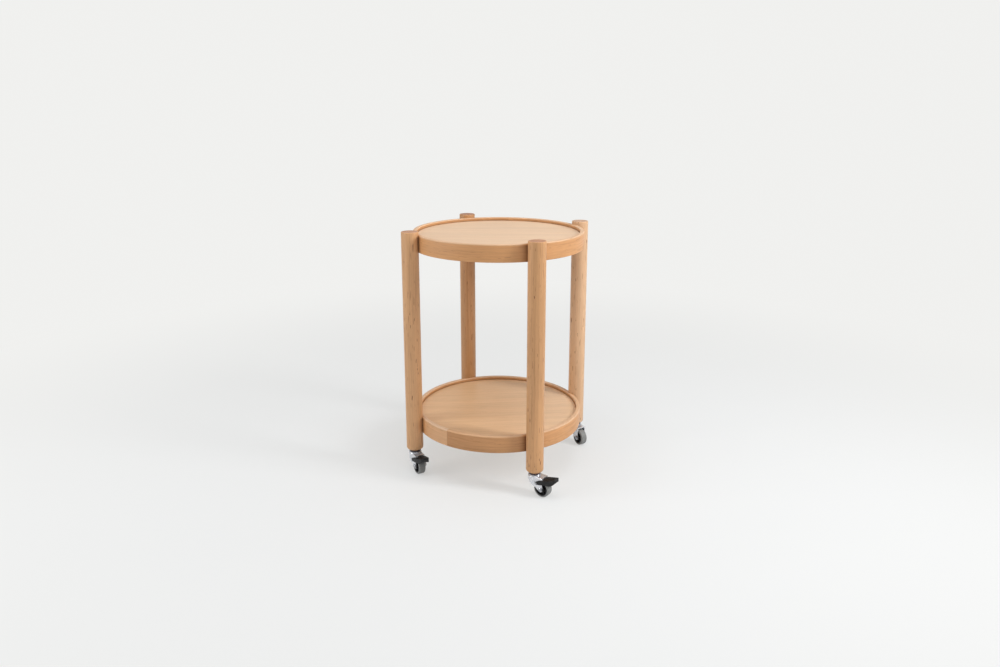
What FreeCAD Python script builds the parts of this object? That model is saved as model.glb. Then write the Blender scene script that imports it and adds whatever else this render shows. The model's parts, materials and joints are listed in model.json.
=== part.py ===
import FreeCAD, Part
import math
import os

# Round two-tier service table on four swivel castors, three of them braked.
# Millimetres, +Z up. The origin is on the floor, on the axis of the two round trays.
# +X is the table's right, -Y its front.

# ---- posts ----
post_diameter = 40.0
post_length = 531.0
post_head_rise = 8.0        # how far each post stands above the upper rim
post_head_round = 1.5
post_foot_round = 5.5
notch_depth = 4.5           # how deep each rim is let into a post

# ---- trays ----
tray_radius = 203.0
rim_height = 40.0
rim_wall = 9.5
rim_edge_round = 1.5
lip_height = 8.0            # the rim stands this far above the panel
panel_thickness = 9.0
panel_edge_chamfer = 0.5
lower_rim_lift = 42.5       # from the posts' feet to the lower rim

# ---- the joint that closes each bent rim ----
rim_joint_gap = 0.3
key_thickness = 3.5
key_length = 24.0
key_margin = 7.0            # rim left above and below the key
upper_joint_angle = 105.0   # about the table's axis, counted from +X
lower_joint_angle = 257.0

# ---- blocks behind the posts, under each panel ----
block_depth = 16.0
block_width = 58.0
block_chamfer = 7.0
block_setback = 1.5         # the block stops this far above the rim's lower edge
block_screw_spread = 38.0
block_screw_radius = 2.0
block_screw_head_radius = 4.0
block_screw_bite = 6.0      # how far a screw goes up into the panel

# ---- bolts between trays and posts ----
bolt_radius = 3.0
bolt_length = 40.0
bolt_head_radius = 5.25
bolt_head_height = 3.3
bolt_socket_flats = 4.0
bolt_socket_depth = 2.0
washer_radius = 7.5
washer_thickness = 1.6
insert_radius = 5.0
insert_length = 13.0

# ---- castors: the stack from the floor up, on the swivel axis ----
wheel_diameter = 40.0
wheel_width = 17.0
rivet_gap = 2.0             # from the tyre's top to the stem's riveted end
rivet_height = 2.6
rivet_radius = 7.0
pressure_washer_thickness = 1.0
pressure_washer_radius = 8.5
crown_thickness = 2.0
crown_radius = 15.0
crown_bend = 1.5            # the rounding of the crown's outer edge
crown_rim_height = 1.6
crown_rim_wall = 1.5
ring_height = 3.1
ring_bore_radius = 6.5
race_height = 2.5
race_radius = 14.0
race_wall = 1.2
collar_height = 2.4
collar_flats = 17.0
stem_radius = 4.0
stem_depth = 17.0
stem_neck_radius = 5.0
socket_radius = 6.0
socket_length = 20.0

# ---- castor fork and wheel ----
trail = 23.0                # from the swivel axis to the axle
fork_gap = 19.6             # between the legs
leg_thickness = 2.0
leg_end_radius = 6.0
leg_rear = 5.0              # the legs' rear edge behind the axle
skirt_height = 5.8          # the crown's skirt in front
axle_radius = 3.0
axle_head_radius = 4.8
axle_head_height = 2.6
axle_nut_flats = 10.0
axle_nut_height = 4.5
bush_wall = 1.45
hub_wall = 3.4
core_rim_wall = 2.2
core_rim_setback = 1.0      # the core's rim stops this far inside the tyre's sides
core_web = 5.0
core_rib_count = 6
core_rib = 2.0
core_rib_setback = 2.0      # the ribs stop this far inside the core's rim
tyre_thickness = 3.8
tyre_shoulder = 3.0

# ---- brake ----
pin_above = 13.6            # the pedal's pivots, above the axle
pin_radius = 1.75
pin_head_radius = 2.8
pin_head_height = 1.0
pin_foot_radius = 2.6       # each pivot's riveted foot, inside its leg
pin_foot_height = 0.6
pedal_reach = 61.5          # from the swivel axis to the pedal's tip
pedal_setback = 1.0         # more room than a side gap between the fork's back and the pedal
pedal_drop = 0.5            # the pedal's roof starts this far below the crown's top
pedal_rise = 5.0            # and rises this much to the tip
pedal_crown = 26.0          # the radius that the roof is arched to, from side to side
pedal_belly = 12.2          # how deep the sides hang at their deepest
pedal_belly_back = 10.0     # and how far behind the pedal's front that is
pedal_belly_bulge = 4.5
pedal_nose = 10.0
pedal_arm = 2.4
pedal_eye_radius = 3.2
pedal_skin = 1.8
pedal_shoulder = 2.0        # the straight part of the sides before the taper
pedal_tip_width = 20.0
pedal_corner = 8.0
pedal_groove = 0.7
pedal_groove_width = 1.4
pedal_groove_count = 4
leaf_thickness = 1.2
leaf_width = 12.0
leaf_seat = 9.0             # the length of the leaf that lies under the roof
leaf_seat_back = 9.0        # where that seat starts, behind the pedal's front
rail_thickness = 1.2
rail_overlap = 1.5          # how far each rail reaches under the leaf
shoe_length = 8.0
shoe_angle = 42.0           # where the leaf meets the tyre, above the horizontal
brake_travel = 9.0          # degrees that the pedal tips down

# ---- clearances ----
fit = 0.1                   # between pieces that seat in each other, and round pins
side_gap = 0.3              # between pieces that turn past each other
tyre_gap = 0.35             # between leaf and tyre with the brake on
overrun = 1.0               # cutting shapes run this far past what they cut

# corner name: where the post stands, and which way its castor trails, both in degrees from +X
corners = {
    "front_right": (315.0, -14.0),
    "back_right": (45.0, -38.0),
    "back_left": (135.0, 166.0),
    "front_left": (225.0, -38.0),
}
braked_corners = ("front_right", "front_left", "back_left")

# ---- derived sizes ----
post_radius = post_diameter / 2
post_circle = tray_radius - notch_depth + post_radius
rim_inner = tray_radius - rim_wall
wheel_radius = wheel_diameter / 2
rivet_bottom = wheel_diameter + rivet_gap
washer_bottom = rivet_bottom + rivet_height
crown_bottom = washer_bottom + pressure_washer_thickness + fit
crown_top = crown_bottom + crown_thickness
ring_bottom = crown_top + fit
race_bottom = ring_bottom + ring_height
race_top = race_bottom + race_height
post_foot = race_top + collar_height
lower_rim_z = post_foot + lower_rim_lift
upper_rim_z = post_foot + post_length - post_head_rise - rim_height
block_height = rim_height - lip_height - panel_thickness - block_setback
bolt_rise = block_setback + block_height / 2
panel_rise = rim_height - lip_height - panel_thickness
washer_seat = rim_inner - fit - block_depth
leg_outer = fork_gap / 2 + leg_thickness
pin_x = math.sqrt(crown_radius ** 2 - leg_outer ** 2) + side_gap + pedal_eye_radius
pin_z = wheel_radius + pin_above
arm_inner = leg_outer + side_gap
arm_outer = arm_inner + pedal_arm
core_radius = wheel_radius - tyre_thickness
pedal_front = trail + leg_rear + 2 * side_gap + pedal_setback
pedal_top = crown_top - pedal_drop
roof_slope = math.atan2(pedal_rise, pedal_reach - pedal_nose - pedal_front)
tray_levels = (lower_rim_z, upper_rim_z)

UP = FreeCAD.Vector(0, 0, 1)
RIGHT = FreeCAD.Vector(1, 0, 0)
BACK = FreeCAD.Vector(0, 1, 0)
CENTRE = FreeCAD.Vector(0, 0, 0)


def point(x, y, z):
    return FreeCAD.Vector(x, y, z)


def cylinder(radius, height, base, axis):
    """A cylinder from its base point along an axis."""
    return Part.makeCylinder(radius, height, base, axis)


def box(x0, x1, y0, y1, z0, z1):
    """A block between two corners."""
    return Part.makeBox(x1 - x0, y1 - y0, z1 - z0, point(x0, y0, z0))


def tube(outer, inner, height, base, axis):
    """A sleeve or washer."""
    return cylinder(outer, height, base, axis).cut(cylinder(inner, height, base, axis))


def hexagon(flats, height, base, axis):
    """A hexagonal bar, built upright at the origin and then laid along its axis."""
    across = flats / math.sqrt(3)
    corner_points = []
    for i in range(7):
        angle = math.radians(60 * i)
        corner_points.append(point(across * math.cos(angle), across * math.sin(angle), 0))
    bar = Part.Face(Part.makePolygon(corner_points)).extrude(point(0, 0, height))
    bar.Placement = FreeCAD.Placement(base, FreeCAD.Rotation(UP, axis))
    return bar


def turned(outline, base, axis):
    """A solid turned from a closed outline of (radius, height) points."""
    points = [point(r, 0, z) for r, z in outline]
    points.append(points[0])
    solid = Part.Face(Part.makePolygon(points)).revolve(CENTRE, UP, 360)
    solid.Placement = FreeCAD.Placement(base, FreeCAD.Rotation(UP, axis))
    return solid


def turn(shape, degrees):
    """The shape turned about the table's axis, or about a castor's own."""
    copy = shape.copy()
    copy.rotate(CENTRE, UP, degrees)
    return copy


def edges_at(shape, height, radius):
    """The round edges of a given radius that lie at a given height."""
    found = []
    for edge in shape.Edges:
        box_of = edge.BoundBox
        level = box_of.ZLength < 0.01 and abs(box_of.ZMin - height) < 0.01
        if level and hasattr(edge.Curve, "Radius") and abs(edge.Curve.Radius - radius) < 0.01:
            found.append(edge)
    return found


def group(solids):
    """Separate solids that share one node."""
    return Part.makeCompound(solids)


def at_posts(solid):
    """One copy of a solid at each post, from the copy on +X."""
    return [turn(solid, angle) for angle, heading in corners.values()]


# ---- timber ----

def post():
    """A round post on +X, notched for both rims, bored for its bolts and its castor."""
    body = cylinder(post_radius, post_length, point(post_circle, 0, post_foot), UP)
    body = body.makeFillet(post_foot_round, edges_at(body, post_foot, post_radius))
    top = post_foot + post_length
    body = body.makeFillet(post_head_round, edges_at(body, top, post_radius))
    notch_radius = tray_radius + fit
    for level in tray_levels:
        body = body.cut(cylinder(notch_radius, rim_height + 2 * fit, point(0, 0, level - fit), UP))
        mouth = point(notch_radius - notch_depth, 0, level + bolt_rise)
        body = body.cut(cylinder(insert_radius + fit, notch_depth + insert_length + 3 * fit, mouth, RIGHT))
    foot = point(post_circle, 0, post_foot)
    return body.cut(cylinder(socket_radius + fit, socket_length + fit, foot, UP))


def bolt_hole(level):
    """The clearance hole that a tray bolt passes through, from inside the rim to the post."""
    start = point(washer_seat - fit, 0, level + bolt_rise)
    return cylinder(bolt_radius + fit, block_depth + rim_wall + 4 * fit, start, RIGHT)


def key_space(level, joint_angle, clearance):
    """The tongue that bridges a rim's joint, or the slot for it when a clearance is given."""
    middle = tray_radius - rim_wall / 2
    half = key_thickness / 2 + clearance
    reach = key_length / 2 + clearance
    low = level + key_margin - clearance
    high = level + rim_height - key_margin + clearance
    return turn(box(middle - half, middle + half, -reach, reach, low, high), joint_angle)


def rim(level, joint_angle):
    """A bent hoop, closed by one butt joint with a loose tongue in it."""
    base = point(0, 0, level)
    hoop = tube(tray_radius, rim_inner, rim_height, base, UP)
    rounded = edges_at(hoop, level, tray_radius)
    for radius in (tray_radius, rim_inner):
        rounded += edges_at(hoop, level + rim_height, radius)
    hoop = hoop.makeFillet(rim_edge_round, rounded)
    half = rim_joint_gap / 2
    slit = box(rim_inner - overrun, tray_radius + overrun, -half, half, level - overrun, level + rim_height + overrun)
    hoop = hoop.cut(turn(slit, joint_angle))
    hoop = hoop.cut(key_space(level, joint_angle, fit))
    for hole in at_posts(bolt_hole(level)):
        hoop = hoop.cut(hole)
    return hoop


def block_screw_places():
    """Where the screws stand in the block on +X: two, side by side along the rim."""
    middle = rim_inner - block_depth / 2
    return [(middle, -block_screw_spread / 2), (middle, block_screw_spread / 2)]


def block_screw(x, y, level):
    """A countersunk wood screw, driven up through a block into the panel."""
    length = block_height + block_screw_bite
    head = block_screw_head_radius
    shank = block_screw_radius
    cone = head - shank
    outline = [(0, 0), (head, 0), (shank, cone), (shank, length - shank), (0, length)]
    return turned(outline, point(x, y, level + block_setback), UP)


def screw_hole(x, y, level):
    """The countersunk hole for one block screw."""
    head = block_screw_head_radius + fit
    shank = block_screw_radius + fit
    length = block_height + block_screw_bite + fit
    outline = [(0, 0), (head, 0), (shank, head - shank), (shank, length), (0, length)]
    return turned(outline, point(x, y, level + block_setback), UP)


def panel(level):
    """The round panel inside a rim, resting on the blocks."""
    radius = rim_inner - 2 * fit
    base = point(0, 0, level + panel_rise)
    disc = cylinder(radius, panel_thickness, base, UP)
    disc = disc.makeChamfer(panel_edge_chamfer, edges_at(disc, base.z + panel_thickness, radius))
    for x, y in block_screw_places():
        for hole in at_posts(screw_hole(x, y, level)):
            disc = disc.cut(hole)
    return disc


def block(level):
    """The block behind one post: its outer face follows the rim, its inner corners are cut off."""
    half = block_width / 2
    low = level + block_setback
    inner = washer_seat
    cut = block_chamfer
    plan = [
        point(inner, -half + cut, low),
        point(inner + cut, -half, low),
        point(rim_inner, -half, low),
        point(rim_inner, half, low),
        point(inner + cut, half, low),
        point(inner, half - cut, low),
        point(inner, -half + cut, low),
    ]
    body = Part.Face(Part.makePolygon(plan)).extrude(point(0, 0, block_height))
    body = body.common(cylinder(rim_inner - fit, block_height, point(0, 0, low), UP))
    body = body.cut(bolt_hole(level))
    for x, y in block_screw_places():
        body = body.cut(screw_hole(x, y, level))
    return body


# ---- tray fasteners ----

def tray_bolt(level):
    """A button-headed bolt from inside the rim into the post's threaded insert."""
    seat = point(washer_seat - washer_thickness, 0, level + bolt_rise)
    shank = cylinder(bolt_radius, bolt_length, seat, RIGHT)
    edge = bolt_head_height / 3
    crown = bolt_head_radius * 0.6
    outline = [(0, 0), (bolt_head_radius, 0), (bolt_head_radius, edge), (crown, bolt_head_height), (0, bolt_head_height)]
    head = turned(outline, seat, -RIGHT)
    top = seat - RIGHT * bolt_head_height
    return shank.fuse(head).cut(hexagon(bolt_socket_flats, bolt_socket_depth, top, RIGHT)).removeSplitter()


def tray_washer(level):
    """The washer under a tray bolt's head."""
    base = point(washer_seat - washer_thickness, 0, level + bolt_rise)
    return tube(washer_radius, bolt_radius + fit, washer_thickness, base, RIGHT)


def tray_insert(level):
    """The threaded sleeve in a post that takes a tray bolt."""
    base = point(tray_radius + 2 * fit, 0, level + bolt_rise)
    return tube(insert_radius, bolt_radius + fit, insert_length, base, RIGHT)


# ---- castors: what stays with the post, on the swivel axis ----

def castor_socket():
    """The threaded sleeve in a post's foot."""
    return tube(socket_radius, stem_radius + fit, socket_length, point(0, 0, post_foot), UP)


def castor_stem():
    """The stem: shank, hexagonal collar, neck and riveted end, in one piece."""
    shank = cylinder(stem_radius, stem_depth, point(0, 0, post_foot), UP)
    collar = hexagon(collar_flats, collar_height, point(0, 0, race_top), UP)
    neck_height = race_top - washer_bottom
    neck = cylinder(stem_neck_radius, neck_height, point(0, 0, washer_bottom), UP)
    edge = rivet_height / 3
    outline = [(0, 0), (stem_neck_radius, 0), (rivet_radius, edge), (rivet_radius, rivet_height), (0, rivet_height)]
    rivet = turned(outline, point(0, 0, rivet_bottom), UP)
    return shank.fuse(collar).fuse(neck).fuse(rivet).removeSplitter()


def castor_race():
    """The upper race: a cup turned down over the bearing ring."""
    bore = stem_neck_radius + fit
    under = race_height - race_wall
    inside = race_radius - race_wall / 2
    outline = [
        (bore, under),
        (inside, under),
        (inside, 0),
        (race_radius, 0),
        (race_radius, under),
        (race_radius - race_wall, race_height),
        (bore, race_height),
    ]
    return turned(outline, point(0, 0, race_bottom), UP)


def castor_ring():
    """The bearing ring that runs in the crown's recess and carries the race."""
    outer = crown_radius - crown_bend - crown_rim_wall - side_gap
    shoulder = race_radius - race_wall / 2 - side_gap
    top = ring_height + race_height - race_wall
    outline = [
        (ring_bore_radius, 0),
        (outer, 0),
        (outer, ring_height - fit),
        (shoulder, ring_height - fit),
        (shoulder, top),
        (ring_bore_radius, top),
    ]
    return turned(outline, point(0, 0, ring_bottom), UP)


def castor_washer():
    """The washer between the fork's crown and the stem's riveted end."""
    base = point(0, 0, washer_bottom)
    return tube(pressure_washer_radius, stem_neck_radius + fit, pressure_washer_thickness, base, UP)


# ---- castors: the fork and what rides on it, trailing along +X ----

def tangent(x, z, centre_x, centre_z, radius, side):
    """Where a line from (x, z) touches a circle; side picks one of the two places."""
    dx = x - centre_x
    dz = z - centre_z
    distance = math.hypot(dx, dz)
    angle = math.atan2(dz, dx) + side * math.acos(radius / distance)
    return centre_x + radius * math.cos(angle), centre_z + radius * math.sin(angle)


def fork_side():
    """The fork's outline seen from the side: a deep crown narrowing to a round end at the axle."""
    front = -crown_radius
    rear = trail + leg_rear
    skirt = crown_top - skirt_height
    low_x, low_z = tangent(front, skirt, trail, wheel_radius, leg_end_radius, 1)
    back_x, back_z = tangent(rear, skirt, trail, wheel_radius, leg_end_radius, -1)
    bottom = point(trail, 0, wheel_radius - leg_end_radius)
    corner_points = [
        point(low_x, 0, low_z),
        point(front, 0, skirt),
        point(front, 0, crown_top),
        point(rear, 0, crown_top),
        point(rear, 0, skirt),
        point(back_x, 0, back_z),
    ]
    edges = Part.makePolygon(corner_points).Edges
    edges.append(Part.Arc(corner_points[-1], bottom, corner_points[0]).toShape())
    return Part.Face(Part.Wire(Part.__sortEdges__(edges)))


def fork_blank():
    """The fork's plan, from the floor to the crown's top: a round front and straight sides behind."""
    front = cylinder(crown_radius, crown_top, CENTRE, UP)
    front = front.makeFillet(crown_bend, edges_at(front, crown_top, crown_radius))
    back = box(0, trail + leg_rear, -leg_outer, leg_outer, 0, crown_top)
    long_edges = []
    for edge in back.Edges:
        box_of = edge.BoundBox
        if box_of.XLength > trail and box_of.ZMin > crown_top - fit:
            long_edges.append(edge)
    return front.fuse(back.makeFillet(crown_bend, long_edges))


def fork(braked):
    """The stamped fork: round crown with a raised rim, and two legs down to the axle."""
    body = fork_side().extrude(point(0, 2 * crown_radius, 0))
    body.translate(point(0, -crown_radius, 0))
    body = body.common(fork_blank())
    hollow = cylinder(crown_radius - leg_thickness, crown_bottom, CENTRE, UP)
    rear = trail + leg_rear + overrun
    hollow = hollow.fuse(box(0, rear, -fork_gap / 2, fork_gap / 2, 0, crown_bottom))
    body = body.cut(hollow)
    rim_outer = crown_radius - crown_bend
    rim_base = point(0, 0, crown_top)
    body = body.fuse(tube(rim_outer, rim_outer - crown_rim_wall, crown_rim_height, rim_base, UP))
    body = body.removeSplitter()
    body = body.cut(cylinder(stem_neck_radius + fit, crown_top, CENTRE, UP))
    half = leg_outer + overrun
    bores = [(trail, wheel_radius, axle_radius)]
    if braked:
        bores.append((pin_x, pin_z, pin_radius))
    for x, z, radius in bores:
        body = body.cut(cylinder(radius + fit / 2, 2 * half, point(x, -half, z), BACK))
    return body


def axle():
    """The axle bolt, its domed head against the near leg."""
    start = point(trail, -leg_outer - fit, wheel_radius)
    shank = cylinder(axle_radius, 2 * leg_outer + 3 * fit + axle_nut_height, start, BACK)
    edge = axle_head_height / 2
    crown = axle_head_radius * 0.6
    outline = [(0, 0), (axle_head_radius, 0), (axle_head_radius, edge), (crown, axle_head_height), (0, axle_head_height)]
    return shank.fuse(turned(outline, start, -BACK)).removeSplitter()


def axle_nut():
    """The nut on the far leg."""
    base = point(trail, leg_outer + fit, wheel_radius)
    nut = hexagon(axle_nut_flats, axle_nut_height, base, BACK)
    return nut.cut(cylinder(axle_radius + fit, axle_nut_height, base, BACK))


def wheel_bush():
    """The sleeve that the wheel turns on."""
    half = fork_gap / 2 - fit
    return tube(axle_radius + fit + bush_wall, axle_radius + fit, 2 * half, point(trail, -half, wheel_radius), BACK)


def wheel_core():
    """The wheel's core: hub, web with ribs, and the rim under the tyre."""
    bore = axle_radius + 2 * fit + bush_wall
    hub = bore + hub_wall
    rim_inside = core_radius - core_rim_wall
    half_hub = fork_gap / 2 - side_gap
    half_web = core_web / 2
    half_rim = wheel_width / 2 - core_rim_setback
    base = point(trail, -half_hub, wheel_radius)
    outline = [
        (bore, 0),
        (hub, 0),
        (hub, half_hub - half_web),
        (rim_inside, half_hub - half_web),
        (rim_inside, half_hub - half_rim),
        (core_radius, half_hub - half_rim),
        (core_radius, half_hub + half_rim),
        (rim_inside, half_hub + half_rim),
        (rim_inside, half_hub + half_web),
        (hub, half_hub + half_web),
        (hub, 2 * half_hub),
        (bore, 2 * half_hub),
    ]
    body = turned(outline, base, BACK)
    half_rib = half_rim - core_rib_setback
    for i in range(core_rib_count):
        rib = box(hub - overrun, rim_inside + overrun, -half_rib, half_rib, -core_rib / 2, core_rib / 2)
        rib.rotate(CENTRE, BACK, 360 * i / core_rib_count)
        rib.translate(point(trail, 0, wheel_radius))
        body = body.fuse(rib)
    return body.removeSplitter()


def wheel_tyre():
    """The tyre on the core, with rounded shoulders."""
    half = wheel_width / 2
    base = point(trail, -half, wheel_radius)
    body = tube(wheel_radius, core_radius, wheel_width, base, BACK)
    shoulders = []
    for edge in body.Edges:
        if hasattr(edge.Curve, "Radius") and abs(edge.Curve.Radius - wheel_radius) < 0.01 and edge.Closed:
            shoulders.append(edge)
    return body.makeFillet(tyre_shoulder, shoulders)


def pedal_pin():
    """The two headed rivets, one through each leg, that the pedal's arms tip on."""
    start = fork_gap / 2 - fit
    length = arm_outer + fit - start
    outline = [
        (0, -pin_foot_height),
        (pin_foot_radius, -pin_foot_height),
        (pin_foot_radius, 0),
        (pin_radius, 0),
        (pin_radius, length),
        (pin_head_radius, length),
        (pin_head_radius, length + pin_head_height),
        (0, length + pin_head_height),
    ]
    near = turned(outline, point(pin_x, -start, pin_z), -BACK)
    far = turned(outline, point(pin_x, start, pin_z), BACK)
    return group([near, far])


def pressed(x, z, degrees):
    """A point of the side view carried round the pedal's pivots; positive degrees tip it down."""
    angle = math.radians(degrees)
    dx = x - pin_x
    dz = z - pin_z
    return pin_x + dx * math.cos(angle) + dz * math.sin(angle), pin_z - dx * math.sin(angle) + dz * math.cos(angle)


def roof(x):
    """The height of the pedal's roof on its middle line."""
    return pedal_top + (x - pedal_front) * math.tan(roof_slope)


def strip(path, thickness, half_width):
    """A bent strip whose middle line, in the side view, runs through the path's points."""
    upper = []
    lower = []
    for i, (x, z) in enumerate(path):
        before = path[max(i - 1, 0)]
        after = path[min(i + 1, len(path) - 1)]
        into = math.atan2(z - before[1], x - before[0]) if i > 0 else None
        out = math.atan2(after[1] - z, after[0] - x) if i < len(path) - 1 else None
        first = out if into is None else into
        last = into if out is None else out
        half_turn = math.remainder(last - first, 2 * math.pi) / 2
        reach = thickness / 2 / math.cos(half_turn)
        normal = first + half_turn + math.pi / 2
        upper.append(point(x + reach * math.cos(normal), -half_width, z + reach * math.sin(normal)))
        lower.append(point(x - reach * math.cos(normal), -half_width, z - reach * math.sin(normal)))
    outline = upper + lower[::-1] + upper[:1]
    return Part.Face(Part.makePolygon(outline)).extrude(point(0, 2 * half_width, 0))


def leaf_seat_line(depth, setback):
    """A line under the pedal's roof, from the back of the leaf's seat to a setback from its front."""
    under = pedal_crown - pedal_skin
    arch = under - math.sqrt(under ** 2 - (leaf_width / 2) ** 2)
    drop = (pedal_skin + arch + fit + depth) / math.cos(roof_slope)
    back = pedal_front + leaf_seat_back + leaf_seat
    front = back - leaf_seat + setback
    return [(back, roof(back) - drop), (front, roof(front) - drop)]


def brake_leaf():
    """The spring-steel leaf: a flat seat under the pedal's roof, bent down to a shoe over the tyre."""
    reach = wheel_radius + tyre_gap + leaf_thickness / 2
    angle = math.radians(shoe_angle)
    shoe = []
    for offset in (shoe_length / 2, -shoe_length / 2):
        x = trail + reach * math.cos(angle) - offset * math.sin(angle)
        z = wheel_radius + reach * math.sin(angle) + offset * math.cos(angle)
        shoe.append(pressed(x, z, -brake_travel))
    path = leaf_seat_line(leaf_thickness / 2, 0) + shoe
    return strip(path, leaf_thickness, leaf_width / 2)


def pedal_side():
    """The pedal seen from the side: eye, rising roof, blunt nose and hanging belly."""
    nose_x = pedal_reach - pedal_nose / 2
    tip_z = roof(nose_x) - pedal_nose / 2
    belly_x = pedal_front + pedal_belly_back
    belly_z = pedal_top - pedal_belly
    eye_up = tangent(pedal_front, pedal_top, pin_x, pin_z, pedal_eye_radius, 1)
    eye_down = tangent(belly_x, belly_z, pin_x, pin_z, pedal_eye_radius, -1)
    chord = math.atan2(tip_z - belly_z, pedal_reach - belly_x)
    bulge_x = (pedal_reach + belly_x) / 2 + pedal_belly_bulge * math.sin(chord)
    bulge_z = (tip_z + belly_z) / 2 - pedal_belly_bulge * math.cos(chord)
    quarter = pedal_nose / 2 * math.sqrt(0.5)
    nose_top = point(nose_x, 0, roof(nose_x))
    nose_mid = point(nose_x + quarter, 0, tip_z + quarter)
    nose_tip = point(pedal_reach, 0, tip_z)
    bulge = point(bulge_x, 0, bulge_z)
    belly = point(belly_x, 0, belly_z)
    upper = Part.makePolygon([point(eye_up[0], 0, eye_up[1]), point(pedal_front, 0, pedal_top), nose_top]).Edges
    nose = Part.Arc(nose_top, nose_mid, nose_tip).toShape()
    under = Part.Arc(nose_tip, bulge, belly).toShape()
    lower = Part.LineSegment(belly, point(eye_down[0], 0, eye_down[1])).toShape()
    eye_front = point(pin_x - pedal_eye_radius, 0, pin_z)
    eye = Part.Arc(lower.Vertexes[1].Point, eye_front, upper[0].Vertexes[0].Point).toShape()
    return Part.Face(Part.Wire(Part.__sortEdges__(upper + [nose, under, lower, eye])))


def roof_arch(inset):
    """The long round bar whose upper side is the pedal's arched roof, or its underside."""
    along = point(math.cos(roof_slope), 0, math.sin(roof_slope))
    down = point(math.sin(roof_slope), 0, -math.cos(roof_slope))
    middle = point(pedal_front, 0, pedal_top) + down * pedal_crown
    return cylinder(pedal_crown - inset, 2 * pedal_reach, middle - along * pedal_reach, along)


def pedal_plan(inset):
    """The pedal seen from above: straight sides, then a taper to a rounded tip."""
    half = arm_outer - inset
    tip_half = pedal_tip_width / 2 - inset
    tip = pedal_reach - inset
    shoulder = pedal_front + pedal_shoulder
    height = 2 * crown_top
    plan = [
        point(0, -half, 0),
        point(shoulder, -half, 0),
        point(tip, -tip_half, 0),
        point(tip, tip_half, 0),
        point(shoulder, half, 0),
        point(0, half, 0),
        point(0, -half, 0),
    ]
    body = Part.Face(Part.makePolygon(plan)).extrude(point(0, 0, height))
    corner_edges = []
    for edge in body.Edges:
        upright = edge.BoundBox.ZLength > height / 2
        if upright and abs(edge.BoundBox.XMin - tip) < 0.01:
            corner_edges.append(edge)
    return body.makeFillet(pedal_corner - inset, corner_edges)


def leaf_rails():
    """The two rails inside the pedal's walls that hold the leaf up against the roof."""
    line = leaf_seat_line(leaf_thickness + fit + rail_thickness / 2, 2 * leaf_thickness)
    rails = strip(line, rail_thickness, arm_outer)
    middle = leaf_width / 2 - rail_overlap
    return rails.cut(box(0, pedal_reach, -middle, middle, 0, 2 * crown_top)).common(pedal_plan(pedal_skin / 2))


def pedal_grooves():
    """The grip grooves across the paddle, each a band that follows the roof's arch."""
    along = point(math.cos(roof_slope), 0, math.sin(roof_slope))
    down = point(math.sin(roof_slope), 0, -math.cos(roof_slope))
    start = point(pedal_front, 0, pedal_top) + down * pedal_crown
    step = (pedal_reach - pedal_front) / (pedal_groove_count + 2)
    grooves = []
    for i in range(pedal_groove_count):
        base = start + along * (step * (i + 1.5))
        grooves.append(tube(pedal_crown + overrun, pedal_crown - pedal_groove, pedal_groove_width, base, along))
    return group(grooves)


def brake_pedal():
    """The pedal: two arms outside the legs, and a hollow arched paddle over the wheel."""
    body = pedal_side().extrude(point(0, 2 * arm_outer, 0))
    body.translate(point(0, -arm_outer, 0))
    body = body.common(pedal_plan(0)).common(roof_arch(0))
    body = body.cut(box(0, pedal_front, -arm_inner, arm_inner, 0, 2 * crown_top))
    half = arm_outer + overrun
    body = body.cut(cylinder(pin_radius + fit / 2, 2 * half, point(pin_x, -half, pin_z), BACK))
    inside = pedal_front + pedal_skin
    pocket = box(inside, pedal_reach - pedal_nose / 2, -arm_outer, arm_outer, 0, 2 * crown_top)
    body = body.cut(pocket.common(pedal_plan(pedal_skin)).common(roof_arch(pedal_skin)))
    tyre_top = wheel_radius + math.sqrt(wheel_radius ** 2 - (pedal_front - trail) ** 2)
    sweep = (inside - pin_x) * math.tan(math.radians(brake_travel))
    half = arm_outer - pedal_skin
    front_wall = box(pedal_front - overrun, inside, -half, half, 0, tyre_top + sweep + 2 * side_gap)
    body = body.cut(front_wall).cut(pedal_grooves())
    return body.fuse(leaf_rails()).removeSplitter()


# ---- assembly ----

def at_castors(solid):
    """One copy of a solid on each castor's swivel axis."""
    return [castor_place(solid, angle, heading) for angle, heading in corners.values()]


def castor_place(solid, angle, heading):
    """A castor piece turned to its heading and carried to its post."""
    copy = turn(solid, heading)
    radians = math.radians(angle)
    copy.translate(point(post_circle * math.cos(radians), post_circle * math.sin(radians), 0))
    return copy


def castor_pieces(braked):
    """The pieces of one castor below its bearing, by name."""
    pieces = {
        "fork": fork(braked),
        "axle": axle(),
        "axle_nut": axle_nut(),
        "wheel_bush": wheel_bush(),
        "wheel_core": wheel_core(),
        "wheel_tyre": wheel_tyre(),
    }
    if braked:
        pieces["pedal_pin"] = pedal_pin()
        pieces["brake_pedal"] = brake_pedal()
        pieces["brake_leaf"] = brake_leaf()
    return pieces


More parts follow.
